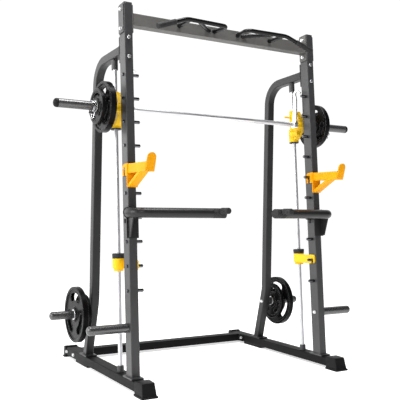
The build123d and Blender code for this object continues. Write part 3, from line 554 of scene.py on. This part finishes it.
def dress_plate(node, sideways, up):
    """Lips round the windows and two raised rings on each face, and a steel insert in the bore."""
    low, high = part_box(node)
    centre = (low + high) / 2
    radius = (high.y - low.y) / 2
    thickness = high.x - low.x
    rim_inner = radius - PLATE_RIM
    span = rim_inner - PLATE_HUB
    window_radius = (rim_inner + PLATE_HUB) / 2 + span * WINDOW_OFFSET
    window_height = span * WINDOW_SHARE
    web_face = thickness / 4
    body = frame["nodes"][node]["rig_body"]
    rims = Build()
    for face in (-1, 1):
        middle = centre + RIGHT * (face * (web_face + LIP_PROUD))
        for start in WINDOW_STARTS:
            outline = slot_outline(window_radius, window_height, start, WINDOW_SWEEP)
            path = [middle + sideways * a + up * b for a, b in outline]
            rims.tube(path, WINDOW_LIP, 8, closed=True)
        for ring_radius in (PLATE_HUB + RING_GAPS[0], rim_inner - RING_GAPS[1]):
            rims.tube(circle(middle, sideways, up, ring_radius, 96), RING_BEAD, 6, closed=True)
    rims.add(node + "_relief", "plate_iron", body)
    insert = Build()
    half = thickness / 2 + INSERT_PROUD
    bore = SLEEVE_RADIUS + BORE_CLEARANCE
    outer = SLEEVE_RADIUS + INSERT_WALL
    chamfer = 1 * MM
    profile = [(-half, bore), (-half, outer - chamfer), (-half + chamfer, outer), (half - chamfer, outer),
               (half, outer - chamfer), (half, bore), (-half, bore)]
    insert.lathe(centre, RIGHT, profile, 72)
    insert.add(node + "_insert", "zinc_steel", body)


for side in SIDES:
    for size in ("large", "small"):
        dress_plate(f"bar_plate_{size}_{side}", BACK, UP)
        dress_plate(f"stored_plate_{size}_{side}", Y, Z)

# ------------------------------------------------------------------ wire spring collars
WIRE_RADIUS = 2.6 * MM
COIL_RADIUS = SLEEVE_RADIUS + 3.4 * MM
COIL_TURNS = 2.75
COIL_PITCH = 6.2 * MM
COIL_START = math.radians(-100)
TURN_STEPS = 40
LOOP_LENGTH = 58 * MM
LOOP_HALF = 5.5 * MM
LOOP_OFFSET = 5 * MM


def spring_collar(side):
    """Almost three turns of wire, with a looped lever bent out at each end."""
    node = f"spring_collar_{side}"
    sign = SIDES[side]
    low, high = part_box(node)
    inner_x = min(abs(low.x), abs(high.x)) + WIRE_RADIUS
    coil = []
    for k in range(int(COIL_TURNS * TURN_STEPS) + 1):
        turn = k / TURN_STEPS
        a = COIL_START + 2 * math.pi * turn
        centre = Vector((sign * (inner_x + COIL_PITCH * turn), BAR_CENTRE.y, BAR_CENTRE.z))
        coil.append(centre + BACK * (COIL_RADIUS * math.cos(a)) + UP * (COIL_RADIUS * math.sin(a)))
    levers = []
    for end, nearby in ((coil[0], coil[1]), (coil[-1], coil[-2])):
        leave = (end - nearby).normalized()
        out = (leave * 0.35 - UP * 0.8 + RIGHT * (sign * 0.35)).normalized()
        across = (RIGHT * sign - out * out.dot(RIGHT * sign)).normalized()
        path = [end + (leave + out) * (4 * MM)]
        path += [end + out * LOOP_LENGTH * f + leave * LOOP_OFFSET for f in (0.3, 0.6, 0.85)]
        tip = end + out * LOOP_LENGTH + leave * LOOP_OFFSET + across * LOOP_HALF
        for k in range(9):
            a = math.pi * (1 - k / 8)
            path.append(tip + across * (LOOP_HALF * math.cos(a)) + out * (LOOP_HALF * math.sin(a)))
        path += [tip + across * LOOP_HALF - out * LOOP_LENGTH * f for f in (0.2, 0.45)]
        levers.append(path)
    path = list(reversed(levers[0])) + coil + levers[1]
    wire = Build()
    wire.tube(path, WIRE_RADIUS, 12)
    body = frame["nodes"][node]["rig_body"]
    wire.add(node + "_wire", "zinc_steel", body, [node], "chrome_steel", sharp_deg=60)


for side in SIDES:
    spring_collar(side)

# ------------------------------------------------------------------ rubber grips
KNOB_PITCH = 4.2 * MM
KNOB_HEIGHT = 0.75 * MM


def diamond_grip(build, start, direction, length, radius, bore):
    """A rubber sleeve, closed at its start and open at its end, with diamonds between plain ends."""
    count = round(2 * math.pi * radius / KNOB_PITCH)
    plain = 9 * MM
    corner = 4 * MM

    def relief(along, angle):
        if along < plain or along > length - plain:
            return 0.0
        phase = 2 * math.pi * along / KNOB_PITCH
        groove = max(math.sin(phase + count * angle), math.sin(phase - count * angle)) > 0.55
        return -KNOB_HEIGHT if groove else 0.0

    profile = [(0.0, 0.5 * MM)]
    for k in range(7):
        a = math.radians(90 * k / 6)
        profile.append((corner * (1 - math.cos(a)), radius - corner + corner * math.sin(a)))
    steps = int((length - 2 * corner) / (0.9 * MM))
    profile += [(corner + (length - 2 * corner) * k / steps, radius) for k in range(1, steps + 1)]
    profile += [(length - 1.5 * MM, radius), (length, radius - 1.5 * MM), (length, bore)]
    profile += [(6 * MM, bore), (6 * MM, 0.5 * MM)]
    build.lathe(start, direction, profile, 96, relief)


HANDLE_TIP = Vector((540, -416, 1981)) * MM
HANDLE_DIRECTION = Vector((-190, 13, 71)).normalized()
HANDLE_BORE = 12.6 * MM
pull_grips = Build()
for side, sign in SIDES.items():
    flip = Vector((sign, 1, 1))
    direction = HANDLE_DIRECTION * flip
    tip = HANDLE_TIP * flip - direction * (3 * MM)
    diamond_grip(pull_grips, tip, direction, 125 * MM, 16 * MM, HANDLE_BORE)
pull_grips.add("pull_up_grips_moulded", "black_rubber", "frame", ["pull_up_grips"])

DIP_RADIUS = 28 * MM
DIP_LEVEL = 956 * MM
DIP_INNER = Vector((170 * MM, -538 * MM, DIP_LEVEL))
DIP_DIRECTION = Vector((510, 98, 0)).normalized()
DIP_GRIP_SPAN = 75 * MM
DIP_BORE = 21.2 * MM
STUB_TIP = Vector((213, -640, 969)) * MM
STUB_GRIP_LENGTH = 70 * MM
STUB_GRIP_RADIUS = 17.5 * MM
STUB_BORE = 12.2 * MM
for side, sign in SIDES.items():
    grips = Build()
    flip = Vector((sign, 1, 1))
    length = DIP_GRIP_SPAN / DIP_DIRECTION.x - 0.3 * MM
    diamond_grip(grips, DIP_INNER * flip, DIP_DIRECTION * flip, length, DIP_RADIUS, DIP_BORE)
    diamond_grip(grips, STUB_TIP * flip, Y, STUB_GRIP_LENGTH, STUB_GRIP_RADIUS, STUB_BORE)
    grips.add(f"dip_grip_{side}_moulded", "black_rubber", f"dip_handle_{side}", [f"dip_grip_{side}"])

# ------------------------------------------------------------------ stop bumpers
BUMPER_BASE = 711.6 * MM
BUMPER_BORE = 12.9
# The outside from the base up, as (height, radius) in millimetres: a groove low down and a dished top
BUMPER_OUTSIDE = (
    (0, 33), (2, 34.5), (9, 35.2), (10, 34.2), (11.5, 34.2), (12.5, 35.6), (24, 36), (27.5, 35.2),
    (29.4, 33), (30, 30), (29.2, 20),
)
for side, sign in SIDES.items():
    outline = [(0, BUMPER_BORE), *BUMPER_OUTSIDE, (29.2, BUMPER_BORE), (0, BUMPER_BORE)]
    profile = [(height * MM, radius * MM) for height, radius in outline]
    bumper = Build()
    bumper.lathe(at(sign * UPRIGHT_X, ROD_DEPTH, BUMPER_BASE), UP, profile, 72)
    node = f"stop_bumper_{side}"
    bumper.add(node + "_moulded", "black_rubber", f"safety_stop_{side}", [node], sharp_deg=50)

# ------------------------------------------------------------------ weld beads
BEAD_RADIUS = 2.3 * MM
THIN_BEAD = 1.8 * MM
BEAD_STEP = 1.1 * MM
RIPPLE = 4.4 * MM


def resample(points, closed):
    """Points every BEAD_STEP along a line, so that the ripples of a weld can show."""
    ends = points + [points[0]] if closed else points
    fine = []
    for a, b in zip(ends, ends[1:]):
        steps = max(1, round((b - a).length / BEAD_STEP))
        fine += [a.lerp(b, k / steps) for k in range(steps)]
    if not closed:
        fine.append(ends[-1])
    return fine


def bead(build, points, closed=True, radius=BEAD_RADIUS):
    """A rippled weld along a line."""
    phase = random.uniform(0, 2 * math.pi)

    def size(travelled):
        return radius * (1 + 0.16 * math.sin(phase + 2 * math.pi * travelled / RIPPLE))

    build.tube(resample(points, closed), size, 7, closed)


def rectangle(centre, across, along, width, height, corner):
    """A rectangle with rounded corners."""
    points = []
    for start, sx, sy in ((0, 1, 1), (90, -1, 1), (180, -1, -1), (270, 1, -1)):
        middle = centre + across * (sx * (width / 2 - corner)) + along * (sy * (height / 2 - corner))
        for k in range(4):
            a = math.radians(start + 30 * k)
            points.append(middle + across * (corner * math.cos(a)) + along * (corner * math.sin(a)))
    return points


TUBE_ROUND = 51 * MM
UPRIGHT_ROUND = 76.5 * MM
WELD_CORNER = 5 * MM
BEAM_HEIGHT = 2053 * MM
BEAM_END_X = 619 * MM
TOP_JOINT = (83 * MM, 1886 * MM)
REAR_FOOT_Y = 295 * MM
REAR_SLOPE = math.atan2(93, 347)
CROSSBAR_END_X = 606.5 * MM
CROSSBAR_HEIGHT = 40 * MM
HANDLE_FEET = (84 * MM, 117 * MM, 324 * MM)


def leaning_y(height):
    """Where the uprights' front faces are at a height above the floor."""
    return FOOT_Y + height * math.tan(LEAN)


def weld_frame():
    """Beads round the feet and tops of the uprights, the beam, the crossbar and the rod sockets."""
    welds = Build()
    beam_centre = at(0, 37 * MM, BEAM_HEIGHT)
    beam_face = at(0, 7 * MM, BEAM_HEIGHT)
    for sign in SIDES.values():
        x = sign * UPRIGHT_X
        foot = Vector((x, leaning_y(FOOT_TOP) + 37.5 * MM / math.cos(LEAN), FOOT_TOP))
        bead(welds, rectangle(foot, RIGHT, Y, TUBE_ROUND, UPRIGHT_ROUND, WELD_CORNER))
        rear_foot = Vector((x, REAR_FOOT_Y, FOOT_TOP))
        slanted = TUBE_ROUND / math.cos(REAR_SLOPE)
        bead(welds, rectangle(rear_foot, RIGHT, Y, TUBE_ROUND, slanted, WELD_CORNER))
        bead(welds, rectangle(at(x, *TOP_JOINT), RIGHT, UP, TUBE_ROUND, TUBE_ROUND, WELD_CORNER))
        beam_end = beam_centre + RIGHT * (sign * BEAM_END_X)
        bead(welds, rectangle(beam_end, BACK, UP, 61 * MM, 71 * MM, WELD_CORNER))
        crossbar_end = Vector((sign * CROSSBAR_END_X, centre_of("rear_crossbar").y, CROSSBAR_HEIGHT))
        bead(welds, rectangle(crossbar_end, Y, Z, 76 * MM, 50 * MM, WELD_CORNER))
        rod_y = at(x, ROD_DEPTH, 0).y + math.tan(LEAN) * RAIL_TOP + 1.2 * MM
        bead(welds, circle(Vector((x, rod_y, RAIL_TOP + 0.8 * MM)), RIGHT, Y, 19.6 * MM))
        for reach in HANDLE_FEET:
            spot = Vector((sign * reach, beam_face.y, BEAM_HEIGHT - 2 * MM))
            bead(welds, circle(spot, RIGHT, UP, 13.6 * MM), radius=THIN_BEAD)
    welds.add("frame_welds", "frame_paint", "frame", sharp_deg=60)


J_HOOK_PIN = 1200.8 * MM
J_HOOK_HALF = 25
J_HOOK_WELD_HALF = 23
# Ends of the beads on each side of a J-hook, in millimetres from the upright's face and above the pin
J_HOOK_SIDE_BEADS = (((-220, -23), (-236, 27)), ((-8.6, -23), (-4.8, 27)))
# Places of the beads across a J-hook in the same measure, with the bead's radius
J_HOOK_CROSS_BEADS = (
    (-6.2, 27.4, 2.0), (-236, 27.4, 2.0), (-160, -23.4, 1.8),
    (-136, -23.4, 1.8), (-11.5, -84, 1.8), (-16.5, -99, 1.8),
)


def weld_j_hook(side):
    """Beads at the lip, the arm, the brace and the sleeve of a J-hook."""
    welds = Build()
    pin_level = at(0, 31 * MM, J_HOOK_PIN).z
    pin = Vector((SIDES[side] * UPRIGHT_X, leaning_y(pin_level), pin_level))
    for x in (-J_HOOK_HALF, J_HOOK_HALF):
        for low, high in J_HOOK_SIDE_BEADS:
            line = [pin + Vector((x, *end)) * MM for end in (low, high)]
            bead(welds, line, closed=False, radius=THIN_BEAD)
    for out, height, radius in J_HOOK_CROSS_BEADS:
        line = [pin + Vector((x, out, height)) * MM for x in (-J_HOOK_WELD_HALF, J_HOOK_WELD_HALF)]
        bead(welds, line, closed=False, radius=radius * MM)
    body = f"j_hook_{side}"
    welds.add(body + "_welds", "yellow_paint", body, finish="amber_paint", sharp_deg=60)


DIP_CORNER_X = 680 * MM


def weld_dip_handle(side):
    """Beads where the tube meets its plate and where the short handle meets the tube."""
    welds = Build()
    sign = SIDES[side]
    tube_end = Vector((sign * DIP_CORNER_X, leaning_y(DIP_LEVEL) - 6.5 * MM, DIP_LEVEL))
    bead(welds, circle(tube_end, RIGHT, UP, DIP_RADIUS + 0.8 * MM))
    rise = (STUB_TIP.x - DIP_INNER.x) * DIP_DIRECTION.y / DIP_DIRECTION.x
    stub_root = Vector((sign * STUB_TIP.x, DIP_INNER.y + rise - 25 * MM, STUB_TIP.z))
    bead(welds, circle(stub_root, RIGHT, Z, 13 * MM), radius=THIN_BEAD)
    body = f"dip_handle_{side}"
    welds.add(body + "_welds", "frame_paint", body, finish="satin_black", sharp_deg=60)


weld_frame()
for side in SIDES:
    weld_j_hook(side)
    weld_dip_handle(side)

# ------------------------------------------------------------------ floor, light and camera
FLOOR_REACH = 30.0
SOFT_BOX = Vector((-0.62, 0.78, 0.05)).normalized()


def floor_sheet():
    """A wide pale floor, just under the feet so that the two don't flicker."""
    mesh = bpy.data.meshes.new("studio_floor")
    corners = [(x * FLOOR_REACH, y * FLOOR_REACH, 0) for x, y in ((-1, -1), (1, -1), (1, 1), (-1, 1))]
    mesh.from_pydata(corners, [], [(0, 1, 2, 3)])
    floor = bpy.data.objects.new("studio_floor", mesh)
    bpy.context.scene.collection.objects.link(floor)
    floor.location.z = -0.4 * MM
    mesh.materials.append(studio_floor("studio_floor"))


def sky_light():
    """Soft light from behind and the left, dimmer from the front, with a white backdrop for the eye."""
    world = bpy.data.worlds.new("studio")
    bpy.context.scene.world = world
    world.use_nodes = True
    tree = world.node_tree
    sky = tree.nodes["Background"]
    coord = tree.nodes.new("ShaderNodeTexCoord")
    split = tree.nodes.new("ShaderNodeSeparateXYZ")
    tree.links.new(coord.outputs["Generated"], split.inputs[0])
    behind = ramp(tree, split.outputs["Y"], (-0.1, 0.25), (0.1, 1.05))
    right_side = ramp(tree, split.outputs["X"], (0.75, 0.98), (1.0, 0.45))
    overhead = ramp(tree, split.outputs["Z"], (0.45, 0.9), (1.0, 0.55))
    toward = tree.nodes.new("ShaderNodeVectorMath")
    toward.operation = "DOT_PRODUCT"
    tree.links.new(coord.outputs["Generated"], toward.inputs[0])
    toward.inputs[1].default_value = SOFT_BOX
    soft_box = ramp(tree, toward.outputs["Value"], (0.8, 0.93), (1.0, 2.3))
    level = combine(tree, "MULTIPLY", behind, right_side)
    above = combine(tree, "MULTIPLY", overhead, soft_box)
    shade = combine(tree, "MULTIPLY", level, above)
    ray = tree.nodes.new("ShaderNodeLightPath")
    backdrop = combine(tree, "MAXIMUM", ray.outputs["Is Camera Ray"], shade)
    tree.links.new(backdrop, sky.inputs["Color"])


def ramp(tree, value, span, result):
    """A smooth change from one result to the other over a span of the value."""
    made = tree.nodes.new("ShaderNodeMapRange")
    made.interpolation_type = "SMOOTHSTEP"
    tree.links.new(value, made.inputs["Value"])
    numbers = (*span, *result)
    for key, number in zip(("From Min", "From Max", "To Min", "To Max"), numbers):
        made.inputs[key].default_value = number
    return made.outputs[0]


def combine(tree, operation, a, b):
    made = tree.nodes.new("ShaderNodeMath")
    made.operation = operation
    tree.links.new(a, made.inputs[0])
    tree.links.new(b, made.inputs[1])
    return made.outputs[0]


def area_light(name, place, aim, size, power):
    lamp = bpy.data.lights.new(name, "AREA")
    lamp.shape = "RECTANGLE"
    lamp.size, lamp.size_y = size
    lamp.energy = power
    light = bpy.data.objects.new(name, lamp)
    bpy.context.scene.collection.objects.link(light)
    light.location = place
    light.rotation_euler = (Vector(aim) - Vector(place)).to_track_quat("-Z", "Y").to_euler()


EYE_PLACE = Vector((-2.1835, -3.6946, 0.9474))
EYE_YAW = math.radians(30.34)
EYE_PITCH = math.radians(1.25)
EYE_ROLL = math.radians(0.45)
LENS_MM = 60.41
SENSOR_MM = 36.0


def camera():
    """A standing camera in front and to the left, with a field of view of 33 degrees."""
    ahead = Vector((math.sin(EYE_YAW), math.cos(EYE_YAW), 0))
    look = ahead * math.cos(EYE_PITCH) + Z * math.sin(EYE_PITCH)
    level = Vector((math.cos(EYE_YAW), -math.sin(EYE_YAW), 0))
    above = level.cross(look)
    across = level * math.cos(EYE_ROLL) + above * math.sin(EYE_ROLL)
    top = across.cross(look)
    data = bpy.data.cameras.new("camera")
    data.sensor_width = SENSOR_MM
    data.lens = LENS_MM
    data.clip_end = 100.0
    eye = bpy.data.objects.new("camera", data)
    bpy.context.scene.collection.objects.link(eye)
    turn = Matrix((across, top, -look)).transposed()
    eye.matrix_world = Matrix.Translation(EYE_PLACE) @ turn.to_4x4()
    bpy.context.scene.camera = eye


floor_sheet()
sky_light()
area_light("key_left", (-6.0, -0.6, 2.6), (0, 0, 1.0), (3.0, 3.0), 230)
area_light("top", (-0.5, -0.8, 5.5), (0, 0, 1.0), (3.0, 2.0), 330)
area_light("front_fill", (-3.5, -6.0, 3.4), (0, 0, 1.2), (1.4, 1.4), 90)
camera()
bpy.context.scene.view_settings.view_transform = "Standard"
